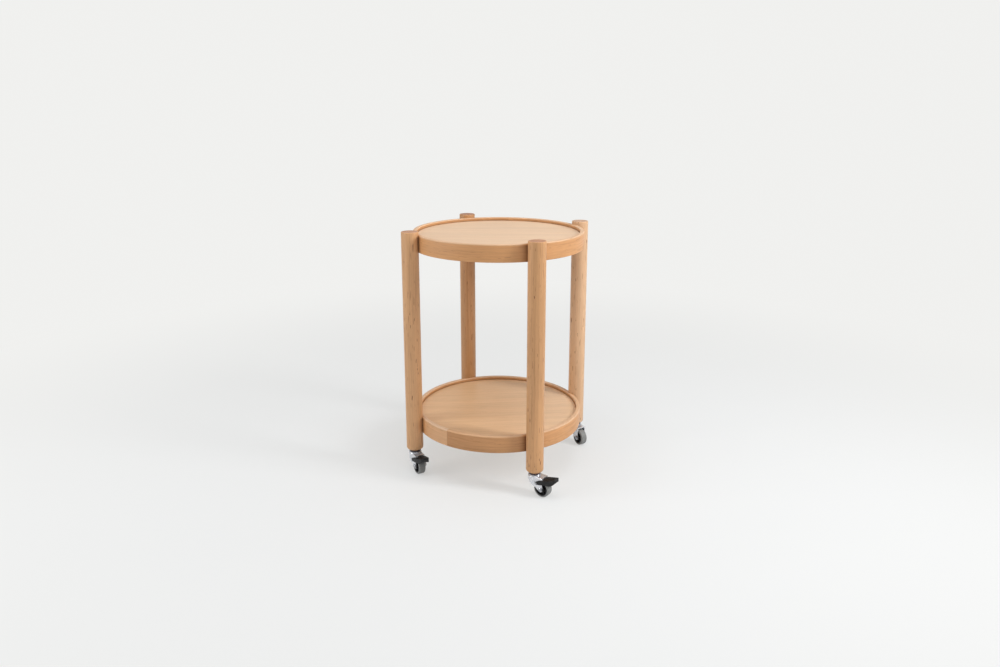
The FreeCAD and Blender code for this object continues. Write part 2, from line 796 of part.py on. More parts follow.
def all_nodes():
    """Every node of the table by name."""
    nodes = {}
    plain_post = post()
    for name, (angle, heading) in corners.items():
        nodes[name + "_post"] = turn(plain_post, angle)
    for tray, level, joint in (
        ("lower", lower_rim_z, lower_joint_angle),
        ("upper", upper_rim_z, upper_joint_angle),
    ):
        nodes[tray + "_rim"] = rim(level, joint)
        nodes[tray + "_panel"] = panel(level)
        nodes[tray + "_blocks"] = group(at_posts(block(level)))
    keys = [
        key_space(lower_rim_z, lower_joint_angle, 0),
        key_space(upper_rim_z, upper_joint_angle, 0),
    ]
    nodes["rim_keys"] = group(keys)
    for name, make in (
        ("tray_bolts", tray_bolt),
        ("tray_washers", tray_washer),
        ("tray_inserts", tray_insert),
    ):
        solids = []
        for level in tray_levels:
            solids += at_posts(make(level))
        nodes[name] = group(solids)
    screws = []
    for level in tray_levels:
        for x, y in block_screw_places():
            screws += at_posts(block_screw(x, y, level))
    nodes["block_screws"] = group(screws)
    nodes["castor_sockets"] = group(at_castors(castor_socket()))
    nodes["castor_stems"] = group(at_castors(castor_stem()))
    nodes["castor_races"] = group(at_castors(castor_race()))
    nodes["castor_rings"] = group(at_castors(castor_ring()))
    nodes["castor_washers"] = group(at_castors(castor_washer()))
    with_brake = castor_pieces(True)
    without_brake = castor_pieces(False)
    for name, (angle, heading) in corners.items():
        pieces = with_brake if name in braked_corners else without_brake
        for piece, solid in pieces.items():
            nodes[name + "_" + piece] = castor_place(solid, angle, heading)
    return nodes


os.makedirs("parts", exist_ok=True)
for name, shape in all_nodes().items():
    shape.exportStep("parts/" + name + ".step")
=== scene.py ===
"""Round two-tier service table on swivel castors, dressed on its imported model.

Four round posts, notched for two round trays, stand on swivel castors.  Each tray is a
bent hoop that stands as a lip round a veneered panel.  The timber is built here as finer
meshes that carry the run of their grain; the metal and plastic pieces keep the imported
model's shapes and take their finishes here.  Lengths are metres.
"""

import json
import logging
import math
from collections.abc import Sequence
from dataclasses import dataclass, field, replace
from enum import Enum

import bmesh
import bpy
from mathutils import Matrix, Vector

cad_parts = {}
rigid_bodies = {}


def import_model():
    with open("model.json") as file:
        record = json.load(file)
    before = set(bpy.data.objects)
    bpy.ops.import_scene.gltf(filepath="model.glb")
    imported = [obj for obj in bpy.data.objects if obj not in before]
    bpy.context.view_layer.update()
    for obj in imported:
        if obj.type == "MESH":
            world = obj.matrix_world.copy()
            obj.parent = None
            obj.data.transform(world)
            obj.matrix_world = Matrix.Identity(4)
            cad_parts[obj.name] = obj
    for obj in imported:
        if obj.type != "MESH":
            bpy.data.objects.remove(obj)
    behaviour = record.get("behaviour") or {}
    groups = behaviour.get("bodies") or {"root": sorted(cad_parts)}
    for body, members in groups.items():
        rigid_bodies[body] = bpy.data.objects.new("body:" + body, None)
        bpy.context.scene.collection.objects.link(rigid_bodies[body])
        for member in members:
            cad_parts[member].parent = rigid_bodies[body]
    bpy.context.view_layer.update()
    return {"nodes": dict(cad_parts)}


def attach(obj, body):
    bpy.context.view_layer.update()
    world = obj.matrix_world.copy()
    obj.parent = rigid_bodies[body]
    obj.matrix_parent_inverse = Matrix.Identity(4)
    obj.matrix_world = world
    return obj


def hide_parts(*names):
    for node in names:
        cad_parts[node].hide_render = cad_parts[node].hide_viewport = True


for leftover in list(bpy.data.objects):
    bpy.data.objects.remove(leftover)

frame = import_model()

log = logging.getLogger("service_table")

Pair = tuple[float, float]
Point = tuple[float, float, float]
Colour = tuple[float, float, float]
Socket = bpy.types.NodeSocket

MIDDLE: Pair = (0.3, 0.7)  # where most of a noise's values lie


class Corner(Enum):
    """The four posts: name, place in degrees from +X, and whether the castor has a brake."""

    FRONT_RIGHT = ("front_right", 315.0, True)
    BACK_RIGHT = ("back_right", 45.0, False)
    BACK_LEFT = ("back_left", 135.0, True)
    FRONT_LEFT = ("front_left", 225.0, True)

    @property
    def label(self) -> str:
        """The corner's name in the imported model."""
        return self.value[0]

    @property
    def bearing(self) -> float:
        """The post's angle about the table's axis, in radians."""
        return math.radians(self.value[1])

    @property
    def braked(self) -> bool:
        """Whether the castor has a brake."""
        return self.value[2]


class Tier(Enum):
    """The two trays: name, height of the rim's foot, and angle of the rim's joint in degrees."""

    LOWER = ("lower", 0.0983, 257.0)
    UPPER = ("upper", 0.5388, 105.0)

    @property
    def label(self) -> str:
        """The tray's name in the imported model."""
        return self.value[0]

    @property
    def level(self) -> float:
        """The height of the rim's lower edge."""
        return self.value[1]

    @property
    def joint(self) -> float:
        """The angle of the rim's butt joint, in radians."""
        return math.radians(self.value[2])


class GrainFrom(Enum):
    """Where a timber finish reads its place in the board."""

    BOARD = "the board attribute of a mesh built here"
    OBJECT = "the object's own coordinates"


# ---------------------------------------------------------------------------------------
# Shader drawing
# ---------------------------------------------------------------------------------------


class FinishSheet:
    """One material's nodes, with short calls for those that the finishes share."""

    def __init__(self, owner: bpy.types.Material | bpy.types.World) -> None:
        """Starts on a material or world that holds only its first nodes.

        Args:
            owner: the material or world.
        """
        owner.use_nodes = True
        self.owner = owner
        self.nodes = owner.node_tree.nodes
        self.links = owner.node_tree.links
        self.shader = next((n for n in self.nodes if n.type == "BSDF_PRINCIPLED"), None)

    def feed(self, socket: Socket, value: object) -> None:
        """Joins a value to a socket.

        Args:
            socket: the input to feed.
            value: another node's output, or a plain number, vector or colour.
        """
        if isinstance(value, bpy.types.NodeSocket):
            self.links.new(value, socket)
        elif isinstance(value, tuple) and len(value) == 3 and socket.type == "RGBA":
            socket.default_value = (*value, 1.0)
        else:
            socket.default_value = value

    def node(
        self, kind: str, inputs: dict[str | int, object], **settings: object
    ) -> bpy.types.Node:
        """Adds a node.

        Args:
            kind: the node's type, without its ShaderNode prefix.
            inputs: values or outputs for its inputs, by name or place.
            **settings: the node's own properties.

        Returns:
            The node.
        """
        made = self.nodes.new("ShaderNode" + kind)
        for name, value in settings.items():
            setattr(made, name, value)
        for key, value in inputs.items():
            self.feed(made.inputs[key], value)
        return made

    def math(
        self, operation: str, first: object, second: object = 0.0, clamp: bool = False
    ) -> Socket:
        """A Math node's result for two numbers or outputs."""
        made = self.node("Math", {0: first, 1: second}, operation=operation, use_clamp=clamp)
        return made.outputs[0]

    def vector(self, operation: str, first: object, second: object) -> Socket:
        """A Vector Math node's vector for two vectors or outputs."""
        return self.node("VectorMath", {0: first, 1: second}, operation=operation).outputs[0]

    def attribute(self, name: str) -> bpy.types.Node:
        """The node that reads one of the mesh's own attributes."""
        return self.node("Attribute", {}, attribute_name=name, attribute_type="GEOMETRY")

    def noise(
        self, place: object, scale: float, detail: float = 2.0, roughness: float = 0.5
    ) -> Socket:
        """A noise texture's value at the given place."""
        inputs = {"Vector": place, "Scale": scale, "Detail": detail, "Roughness": roughness}
        return self.node("TexNoise", inputs).outputs["Fac"]

    def grain(
        self, place: object, waves: Point, detail: float = 2.0, roughness: float = 0.5
    ) -> Socket:
        """A noise whose waves per metre differ across, through and along the board."""
        return self.noise(self.vector("MULTIPLY", place, waves), 1.0, detail, roughness)

    def band(
        self, value: object, low: float, high: float, to_low: float = 0.0, to_high: float = 1.0
    ) -> Socket:
        """A value carried smoothly from one range to another.

        Args:
            value: the value or output.
            low: where the source range starts.
            high: where the source range ends.
            to_low: the result at low.
            to_high: the result at high.

        Returns:
            The carried value, kept within the new range.
        """
        limits = {"From Min": low, "From Max": high, "To Min": to_low, "To Max": to_high}
        made = self.node("MapRange", {"Value": value, **limits}, interpolation_type="SMOOTHSTEP")
        return made.outputs[0]

    def mix(self, share: object, first: object, second: object, blend: str = "MIX") -> Socket:
        """Mixes two colours.

        Args:
            share: how much of the second to take.
            first: the first colour or output.
            second: the second colour or output.
            blend: how the second is laid on the first.

        Returns:
            The mixed colour.
        """
        made = self.node("Mix", {}, data_type="RGBA", blend_type=blend)
        self.feed(made.inputs[0], share)
        self.feed(made.inputs[6], first)
        self.feed(made.inputs[7], second)
        return made.outputs[2]

    def ramp(self, value: object, stops: Sequence[tuple[float, Colour]]) -> Socket:
        """A colour ramp.

        Args:
            value: the place on the ramp.
            stops: places and their colours, lowest first.

        Returns:
            The ramp's colour.
        """
        made = self.node("ValToRGB", {"Fac": value})
        band = made.color_ramp
        while len(band.elements) < len(stops):
            band.elements.new(0.5)
        for element, (place, colour) in zip(band.elements, stops):
            element.position = place
            element.color = (*colour, 1.0)
        return made.outputs[0]

    def bump(self, height: object, strength: float, distance: float) -> Socket:
        """A bumped normal from a height."""
        made = self.node("Bump", {"Height": height, "Strength": strength, "Distance": distance})
        return made.outputs[0]

    def finish(self, **sockets: object) -> bpy.types.Material:
        """Feeds the shader's own sockets.

        Args:
            **sockets: values or outputs under the sockets' names, with underscores for spaces.

        Returns:
            The material.
        """
        for name, value in sockets.items():
            self.feed(self.shader.inputs[name.replace("_", " ")], value)
        return self.owner


class Finish:
    """A finish that makes its material once and shares it."""

    _made: dict[str, bpy.types.Material] = {}

    def draw(self) -> bpy.types.Material:
        """Makes the material; each finish has its own way."""
        raise NotImplementedError

    @property
    def material(self) -> bpy.types.Material:
        """The finish's material, made at its first use.

        Returns:
            The material.
        """
        key = repr(self)
        if key not in Finish._made:
            Finish._made[key] = self.draw()
        return Finish._made[key]


# ---------------------------------------------------------------------------------------
# Finishes
# ---------------------------------------------------------------------------------------


@dataclass(frozen=True)
class Timber(Finish):
    """Lacquered timber: growth rings, wandering grain, fine fibres and small dark flecks."""

    name: str
    early: Colour
    late: Colour
    streak: Colour
    end_grain: Colour
    ring_width: float
    ring_contrast: float
    streak_share: float
    fleck_share: float
    coat: float
    streak_scale: float = 170.0
    shade_range: Pair = (0.93, 1.07)
    tick: Colour = (0.17, 0.062, 0.022)
    tick_share: float = 0.0
    reads: GrainFrom = GrainFrom.BOARD
    # a veneer's leaves: their width, and how far each is from the last through and along the log
    leaf_width: float = 0.0
    leaf_shift: Pair = (0.013, 0.61)
    # what a mesh's tone mixes in: pale above 0, for paler wood and for painted light; deep below 0,
    # a warm shadow brown, for darker wood and for painted shade
    pale_and_painted_light: Colour = (0.80, 0.60, 0.42)
    deep_and_painted_shade: Colour = (0.055, 0.012, 0.004)
    end_streak_share: float = 0.5
    # waves per metre across, through and along the board
    wander_waves: Point = (9.0, 9.0, 1.6)
    broad_waves: Point = (38.0, 38.0, 2.4)
    tick_waves: Point = (215.0, 215.0, 36.0)
    fleck_waves: Point = (420.0, 420.0, 34.0)
    fibre_waves: Point = (1500.0, 1500.0, 45.0)
    streak_waves_along: float = 7.0
    # how far the grain wanders across, through and along
    wander: Point = (0.022, 0.022, 0.0)
    # where each mark begins and where it is full, out of its own noise
    late_band: Pair = (0.35, 0.95)
    streak_band: Pair = (0.50, 0.74)
    fleck_band: Pair = (0.67, 0.73)
    tick_band: Pair = (0.705, 0.738)
    broad_band: Pair = MIDDLE
    fibre_band: Pair = (0.25, 0.75)
    fibre_shade: Pair = (0.93, 1.05)
    rough_range: Pair = (0.40, 0.52)
    # relief of late wood and flecks against the fibres' own, and its strength and depth
    late_height: float = -0.35
    fleck_depth: float = 0.7
    relief_strength: float = 0.22
    relief: float = 0.0002

    def board_place(self, sheet: FinishSheet) -> Socket:
        """The place in the board: across, through and along the grain, in metres.

        Args:
            sheet: the material being drawn.

        Returns:
            The place as a vector output.
        """
        if self.reads is GrainFrom.BOARD:
            return sheet.attribute("board").outputs["Vector"]
        return sheet.node("TexCoord", {}).outputs["Object"]

    def leaf_place(self, sheet: FinishSheet, place: Socket) -> Socket:
        """Cuts the board into veneer leaves, each from another place in its log.

        Args:
            sheet: the material being drawn.
            place: the place in the whole panel.

        Returns:
            The place in the leaf's own board.
        """
        parts = sheet.node("SeparateXYZ", {0: place})
        count = sheet.math("FLOOR", sheet.math("DIVIDE", parts.outputs[0], self.leaf_width))
        middle = sheet.math("MULTIPLY", sheet.math("ADD", count, 0.5), self.leaf_width)
        across = sheet.math("SUBTRACT", parts.outputs[0], middle)
        deeper = sheet.math("MULTIPLY", count, self.leaf_shift[0])
        through = sheet.math("ADD", parts.outputs[1], deeper)
        further = sheet.math("MULTIPLY", count, self.leaf_shift[1])
        along = sheet.math("ADD", parts.outputs[2], further)
        return sheet.node("CombineXYZ", {0: across, 1: through, 2: along}).outputs[0]

    def wandered(self, sheet: FinishSheet, place: Socket) -> Socket:
        """Lets the grain wander slowly to the sides.

        Args:
            sheet: the material being drawn.
            place: the place in the board.

        Returns:
            The place, shifted a little across and through the board.
        """
        slow = sheet.vector("MULTIPLY", place, self.wander_waves)
        cloud = sheet.node("TexNoise", {"Vector": slow, "Scale": 1.0}).outputs["Color"]
        drift = sheet.vector("SUBTRACT", cloud, (0.5, 0.5, 0.5))
        return sheet.vector("ADD", place, sheet.vector("MULTIPLY", drift, self.wander))

    def late_wood(self, sheet: FinishSheet, place: Socket) -> Socket:
        """Draws the growth rings round the board's own axis.

        Args:
            sheet: the material being drawn.
            place: the wandered place in the board.

        Returns:
            How far each point is into the late, darker part of its ring.
        """
        rings = sheet.node(
            "TexWave",
            {
                "Vector": place,
                "Scale": math.pi / (10.0 * self.ring_width),  # rings stand pi / 10 apart at 1
                "Distortion": 1.6,
                "Detail": 2.0,
                "Detail Scale": 0.18,
                "Detail Roughness": 0.6,
            },
            wave_type="RINGS",
            rings_direction="Z",
            wave_profile="SAW",
        )
        return sheet.band(rings.outputs["Fac"], *self.late_band)

    def marked(self, sheet: FinishSheet, colour: Socket, late: Socket) -> Socket:
        """Lays on what a mesh built here says of its faces: cut ends, and paler or deeper tones,
        which hold the wood's own tones, painted light and painted shade.

        Args:
            sheet: the material being drawn.
            colour: the colour of the long grain.
            late: the share of late wood.

        Returns:
            The colour with ends and tones.
        """
        streaked = sheet.math("MULTIPLY", late, self.end_streak_share)
        cut = sheet.mix(streaked, self.end_grain, self.streak)
        colour = sheet.mix(sheet.attribute("end_grain").outputs["Fac"], colour, cut)
        # the mesh's tone: the wood's own tones, with painted light above 0 and painted shade below
        # 0
        tone = sheet.attribute("tone").outputs["Fac"]
        colour = sheet.mix(sheet.math("MAXIMUM", tone, 0.0), colour, self.pale_and_painted_light)
        depth = sheet.math("MAXIMUM", sheet.math("MULTIPLY", tone, -1.0), 0.0)
        return sheet.mix(depth, colour, self.deep_and_painted_shade)

    def draw(self) -> bpy.types.Material:
        """Draws the timber's nodes.

        Returns:
            The material.
        """
        sheet = FinishSheet(bpy.data.materials.new(self.name))
        place = self.board_place(sheet)
        if self.leaf_width:
            place = self.leaf_place(sheet, place)
        wandered = self.wandered(sheet, place)
        late = self.late_wood(sheet, wandered)
        colour = sheet.mix(sheet.math("MULTIPLY", late, self.ring_contrast), self.early, self.late)

        streak_waves = (self.streak_scale, self.streak_scale, self.streak_waves_along)
        streaks = sheet.grain(wandered, streak_waves, detail=3.0, roughness=0.6)
        streak = sheet.band(streaks, *self.streak_band)
        colour = sheet.mix(sheet.math("MULTIPLY", streak, self.streak_share), colour, self.streak)
        if self.reads is GrainFrom.BOARD:
            colour = self.marked(sheet, colour, late)

        broad = sheet.grain(wandered, self.broad_waves)
        fibre = sheet.grain(place, self.fibre_waves)
        shade = sheet.math(
            "MULTIPLY",
            sheet.band(broad, *self.broad_band, *self.shade_range),
            sheet.band(fibre, *self.fibre_band, *self.fibre_shade),
        )
        grey = sheet.node("CombineColor", {0: shade, 1: shade, 2: shade}).outputs[0]
        colour = sheet.mix(1.0, colour, grey, "MULTIPLY")

        fleck = sheet.band(sheet.grain(place, self.fleck_waves, detail=1.0), *self.fleck_band)
        colour = sheet.mix(sheet.math("MULTIPLY", fleck, self.fleck_share), colour, self.streak)
        ticks = sheet.grain(place, self.tick_waves, detail=1.5, roughness=0.6)
        tick = sheet.band(ticks, *self.tick_band)
        colour = sheet.mix(sheet.math("MULTIPLY", tick, self.tick_share), colour, self.tick)

        height = sheet.math("ADD", sheet.math("MULTIPLY", late, self.late_height), fibre)
        height = sheet.math("SUBTRACT", height, sheet.math("MULTIPLY", fleck, self.fleck_depth))
        return sheet.finish(
            Base_Color=colour,
            Roughness=sheet.band(streaks, *MIDDLE, *self.rough_range),
            Normal=sheet.bump(height, self.relief_strength, self.relief),
            Specular_IOR_Level=0.36,
            Coat_Weight=self.coat,
            Coat_Roughness=0.3,
        )


@dataclass(frozen=True)
class Metal(Finish):
    """Plated or bare metal with faint handling marks."""

    name: str
    colour: Colour
    worn: Colour
    rough_low: float
    rough_high: float
    mark_scale: float
    bump_strength: float = 0.03
    metallic: float = 1.0
    grit_ratio: float = 14.0
    grit_height: float = 0.0001
    mark_band: Pair = (0.35, 0.68)

    def draw(self) -> bpy.types.Material:
        """Draws the metal's nodes.

        Returns:
            The material.
        """
        sheet = FinishSheet(bpy.data.materials.new(self.name))
        place = sheet.node("TexCoord", {}).outputs["Object"]
        cloud = sheet.noise(place, self.mark_scale, detail=4.0, roughness=0.6)
        grit = sheet.noise(place, self.mark_scale * self.grit_ratio)
        return sheet.finish(
            Base_Color=sheet.mix(sheet.band(cloud, *self.mark_band), self.colour, self.worn),
            Roughness=sheet.band(cloud, *MIDDLE, self.rough_low, self.rough_high),
            Metallic=self.metallic,
            Normal=sheet.bump(grit, self.bump_strength, self.grit_height),
        )


@dataclass(frozen=True)
class Moulded(Finish):
    """Moulded plastic or rubber with a fine skin texture and a little dust."""

    name: str
    colour: Colour
    dust: Colour
    dust_share: float
    roughness: float
    grain_scale: float
    grain_depth: float
    dust_scale: float = 90.0
    dust_band: Pair = (0.45, 0.8)
    rubbed: float = -0.06  # the roughness changes by this where hands rub it
    dull: float = 0.08  # and by this where they don't
    skin_strength: float = 0.25

    def draw(self) -> bpy.types.Material:
        """Draws the plastic's nodes.

        Returns:
            The material.
        """
        sheet = FinishSheet(bpy.data.materials.new(self.name))
        place = sheet.node("TexCoord", {}).outputs["Object"]
        cloud = sheet.noise(place, self.dust_scale, detail=3.0)
        share = sheet.math("MULTIPLY", sheet.band(cloud, *self.dust_band), self.dust_share)
        skin = sheet.noise(place, self.grain_scale, detail=1.0)
        rough_range = (self.roughness + self.rubbed, self.roughness + self.dull)
        return sheet.finish(
            Base_Color=sheet.mix(share, self.colour, self.dust),
            Roughness=sheet.band(cloud, *MIDDLE, *rough_range),
            Normal=sheet.bump(skin, self.skin_strength, self.grain_depth),
            Specular_IOR_Level=0.32,
        )


POST_TIMBER = Timber(
    name="post_timber",
    early=(0.588, 0.310, 0.136),
    late=(0.445, 0.206, 0.077),
    streak=(0.27, 0.110, 0.038),
    end_grain=(0.47, 0.215, 0.110),
    ring_width=0.0046,
    ring_contrast=0.24,
    streak_share=0.32,
    fleck_share=0.62,
    coat=0.14,
    tick_share=0.95,
)
RIM_TIMBER = Timber(
    name="rim_timber",
    early=(0.61, 0.309, 0.131),
    late=(0.45, 0.200, 0.072),
    streak=(0.33, 0.135, 0.046),
    end_grain=(0.42, 0.190, 0.095),
    ring_width=0.0034,
    ring_contrast=0.15,
    streak_share=0.34,
    fleck_share=0.40,
    coat=0.04,
    streak_scale=330.0,
    shade_range=(0.95, 1.05),
    tick_share=0.35,
)
UPPER_VENEER = Timber(
    name="upper_veneer",
    early=(0.74, 0.520, 0.345),
    late=(0.68, 0.455, 0.285),
    streak=(0.60, 0.380, 0.215),
    end_grain=(0.62, 0.420, 0.270),
    ring_width=0.0060,
    ring_contrast=0.14,
    streak_share=0.20,
    fleck_share=0.25,
    coat=0.08,
    streak_scale=240.0,
    shade_range=(0.955, 1.035),
    leaf_width=0.128,
)
LOWER_VENEER = replace(
    UPPER_VENEER,
    name="lower_veneer",
    early=(0.73, 0.462, 0.255),
    late=(0.62, 0.360, 0.185),
    ring_contrast=0.26,
    streak_share=0.30,
)
BLOCK_TIMBER = Timber(
    name="block_timber",
    early=(0.62, 0.400, 0.225),
    late=(0.50, 0.290, 0.140),
    streak=(0.40, 0.210, 0.090),
    end_grain=(0.5, 0.3, 0.17),
    ring_width=0.0045,
    ring_contrast=0.5,
    streak_share=0.3,
    fleck_share=0.4,
    coat=0.0,
    reads=GrainFrom.OBJECT,
)
CHROME = Metal(
    name="chrome_plate",
    colour=(0.78, 0.79, 0.82),
    worn=(0.66, 0.67, 0.71),
    rough_low=0.17,
    rough_high=0.28,
    mark_scale=120.0,
    bump_strength=0.02,
    metallic=0.64,
)
# dark metal on the races: painted shade under the posts
RACE_PAINTED_SHADE = Metal(
    name="race_painted_shade",
    colour=(0.17, 0.155, 0.17),
    worn=(0.09, 0.08, 0.09),
    rough_low=0.22,
    rough_high=0.36,
    mark_scale=140.0,
)
ZINC = Metal(
    name="zinc_plate",
    colour=(0.46, 0.47, 0.49),
    worn=(0.32, 0.33, 0.36),
    rough_low=0.28,
    rough_high=0.46,
    mark_scale=160.0,
)
SPRING = Metal(
    name="spring_steel",
    colour=(0.42, 0.42, 0.44),
    worn=(0.26, 0.25, 0.25),
    rough_low=0.25,
    rough_high=0.42,
    mark_scale=220.0,
)
BLACK_PLASTIC = Moulded(
    name="black_plastic",
    colour=(0.008, 0.008, 0.009),
    dust=(0.05, 0.048, 0.045),
    dust_share=0.4,
    roughness=0.48,
    grain_scale=2600.0,
    grain_depth=0.00005,
)
BEARING = Moulded(
    name="bearing_plastic",
    colour=(0.016, 0.016, 0.020),
    dust=(0.05, 0.05, 0.05),
    dust_share=0.3,
    roughness=0.33,
    grain_scale=1800.0,
    grain_depth=0.00003,
)
GREY_TREAD = Moulded(
    name="grey_tread",
    colour=(0.225, 0.230, 0.225),
    dust=(0.30, 0.295, 0.28),
    dust_share=0.5,
    roughness=0.55,
    grain_scale=1500.0,
    grain_depth=0.00006,
)


# ---------------------------------------------------------------------------------------
# Mesh work
# ---------------------------------------------------------------------------------------


class Workpiece:
    """Loops of points bridged into one mesh, each point with its place in its board."""

    crisp_angle: float = math.radians(32.0)  # sharper edges than this stay crisp
    join_distance: float = 1e-7

    def __init__(self) -> None:
        """Starts with no points."""
        self.points: list[Point] = []
        self.boards: list[Point] = []
        self.tones_and_painted_light: list[float] = []
        self.faces: list[tuple[int, ...]] = []
        self.ends: list[float] = []

    def loop(self, points: Sequence[Point], boards: Sequence[Point], tone: float) -> list[int]:
        """Adds a run of points.

        Args:
            points: the points in order.
            boards: their places in the board.
            tone: above 0 the share of the finish's pale colour, below 0 that of its deep colour; it
                holds the wood's own tones, painted light and painted shade.

        Returns:
            The new points' numbers.
        """
        start = len(self.points)
        self.points.extend(points)
        self.boards.extend(boards)
        self.tones_and_painted_light.extend([tone] * len(points))
        return list(range(start, len(self.points)))

    def face(self, corners: Sequence[int], end_grain: bool = False) -> None:
        """Adds one face, marked if it is cut across the grain."""
        self.faces.append(tuple(corners))
        self.ends.append(1.0 if end_grain else 0.0)

    def bridge(self, first: Sequence[int], second: Sequence[int], end_grain: bool = False) -> None:
        """Joins two closed loops of equal length with quads.

        Args:
            first: the first loop.
            second: the loop after it.
            end_grain: whether the band is cut across the grain.
        """
        for i in range(len(first)):
            j = (i + 1) % len(first)
            self.face((first[i], first[j], second[j], second[i]), end_grain)

    def build(self, name: str, finish: Finish) -> bpy.types.Object:
        """Makes the object, with doubled points joined and sides facing out.

        Args:
            name: the piece's name.
            finish: its finish.

        Returns:
            The new object, linked to the scene.
        """
        mesh = bpy.data.meshes.new(name)
        mesh.from_pydata(self.points, [], self.faces)
        board = mesh.attributes.new("board", "FLOAT_VECTOR", "POINT")
        board.data.foreach_set("vector", [value for place in self.boards for value in place])
        end = mesh.attributes.new("end_grain", "FLOAT", "FACE")
        end.data.foreach_set("value", self.ends)
        # the tone attribute holds the wood's own tones, painted light and painted shade
        shade = mesh.attributes.new("tone", "FLOAT", "POINT")
        shade.data.foreach_set("value", self.tones_and_painted_light)
        work = bmesh.new()
        work.from_mesh(mesh)
        bmesh.ops.remove_doubles(work, verts=work.verts, dist=self.join_distance)
        bmesh.ops.dissolve_degenerate(work, edges=work.edges, dist=self.join_distance)
        bmesh.ops.recalc_face_normals(work, faces=work.faces)
        work.to_mesh(mesh)
        work.free()
        mesh.polygons.foreach_set("use_smooth", [True] * len(mesh.polygons))
        mesh.set_sharp_from_angle(angle=self.crisp_angle)
        mesh.materials.append(finish.material)
        piece = bpy.data.objects.new(name, mesh)
        bpy.context.scene.collection.objects.link(piece)
        return piece


def rounded(middle: Pair, radius: float, start: float, stop: float, steps: int) -> list[Pair]:
    """Points of an arc in an outline.

    Args:
        middle: the arc's centre.
        radius: its radius.
        start: the angle of its first point, in degrees.
        stop: the angle of its last point, in degrees.
        steps: how many steps it takes.

    Returns:
        The points, first and last included.
    """
    angles = [math.radians(start + (stop - start) * i / steps) for i in range(steps + 1)]
    return [(middle[0] + radius * math.cos(a), middle[1] + radius * math.sin(a)) for a in angles]


def dress(finish: Finish, *nodes: str) -> None:
    """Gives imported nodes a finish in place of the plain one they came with.

    Args:
        finish: the finish.
        *nodes: the nodes' names.
    """
    for name in nodes:
        slots = frame["nodes"][name].material_slots
        for slot in slots:
            slot.material = finish.material
        if not slots:
            frame["nodes"][name].data.materials.append(finish.material)


# ---------------------------------------------------------------------------------------
# Posts
# ---------------------------------------------------------------------------------------


@dataclass
class Post:
    """One round post, notched on its inner side where the two rims are let in."""

    corner: Corner
    # the post's tone: partly its wood's own, partly painted light and painted shade
    tone: float
    pith: Pair
    radius: float = 0.020
    foot: float = 0.0558
    length: float = 0.531
    circle: float = 0.2185
    head_round: float = 0.0015
    foot_round: float = 0.0055
    notch_radius: float = 0.2031
    notch_height: float = 0.0402
    notch_drop: float = 0.0001
    socket_radius: float = 0.0061
    socket_depth: float = 0.0201
    around: int = 72
    foot_steps: int = 8
    head_steps: int = 5
    clear_angle: float = 0.02
    cap_share: float = 0.5

    def angles(self) -> list[float]:
        """Spaces the points round the post, with one exactly at each end of the notch's arc.

        Returns:
            The angles, in radians.
        """
        squares = self.circle**2 + self.radius**2 - self.notch_radius**2
        edge = math.pi - math.acos(squares / (2 * self.circle * self.radius))
        edges = (edge, 2 * math.pi - edge)
        even = [2 * math.pi * k / self.around for k in range(self.around)]
        clear = [a for a in even if min(abs(a - e) for e in edges) > self.clear_angle]
        return sorted([*clear, *edges])

    def ring(self, piece: Workpiece, radius: float, height: float, notched: bool) -> list[int]:
        """One loop round the post.

        Args:
            piece: the mesh being built.
            radius: the loop's radius.
            height: its height.
            notched: whether the tray's circle cuts it.

        Returns:
            The loop's points.
        """
        points, boards = [], []
        for angle in self.angles():
            out, side = radius * math.cos(angle), radius * math.sin(angle)
            if notched and math.hypot(self.circle + out, side) < self.notch_radius:
                out = math.sqrt(self.notch_radius**2 - side**2) - self.circle
            points.append((out, side, height))
            boards.append((out + self.pith[0], side + self.pith[1], height + self.corner.bearing))
        return piece.loop(points, boards, self.tone)

    def build(self) -> bpy.types.Object:
        """Builds the post and stands it in its place.

        Returns:
            The post.
        """
        piece = Workpiece()
        top = self.foot + self.length
        hole = self.socket_radius
        loops = [
            self.ring(piece, hole, self.foot + self.socket_depth, False),
            self.ring(piece, hole, self.foot, False),
        ]
        ease = self.foot_round
        arc = rounded((self.radius - ease, self.foot + ease), ease, -90, 0, self.foot_steps)
        loops += [self.ring(piece, radius, height, False) for radius, height in arc]
        for tier in Tier:
            low = tier.level - self.notch_drop
            high = low + self.notch_height
            loops.append(self.ring(piece, self.radius, low, False))
            loops.append(self.ring(piece, self.radius, low, True))
            loops.append(self.ring(piece, self.radius, high, True))
            loops.append(self.ring(piece, self.radius, high, False))
        ease = self.head_round
        arc = rounded((self.radius - ease, top - ease), ease, 0, 90, self.head_steps)
        loops += [self.ring(piece, radius, height, False) for radius, height in arc]
        loops.append(self.ring(piece, self.radius * self.cap_share, top, False))
        last = len(loops) - 2
        for number, (first, second) in enumerate(zip(loops, loops[1:])):
            piece.bridge(first, second, number in (0, 1, last))
        piece.face(loops[0][::-1], True)
        piece.face(loops[-1], True)
        name = self.corner.label + "_post"
        post = piece.build("turned_" + name, POST_TIMBER)
        turn = Matrix.Rotation(self.corner.bearing, 4, "Z")
        post.matrix_world = turn @ Matrix.Translation((self.circle, 0, 0))
        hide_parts(name)
        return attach(post, "table")


# ---------------------------------------------------------------------------------------
# Trays
# ---------------------------------------------------------------------------------------


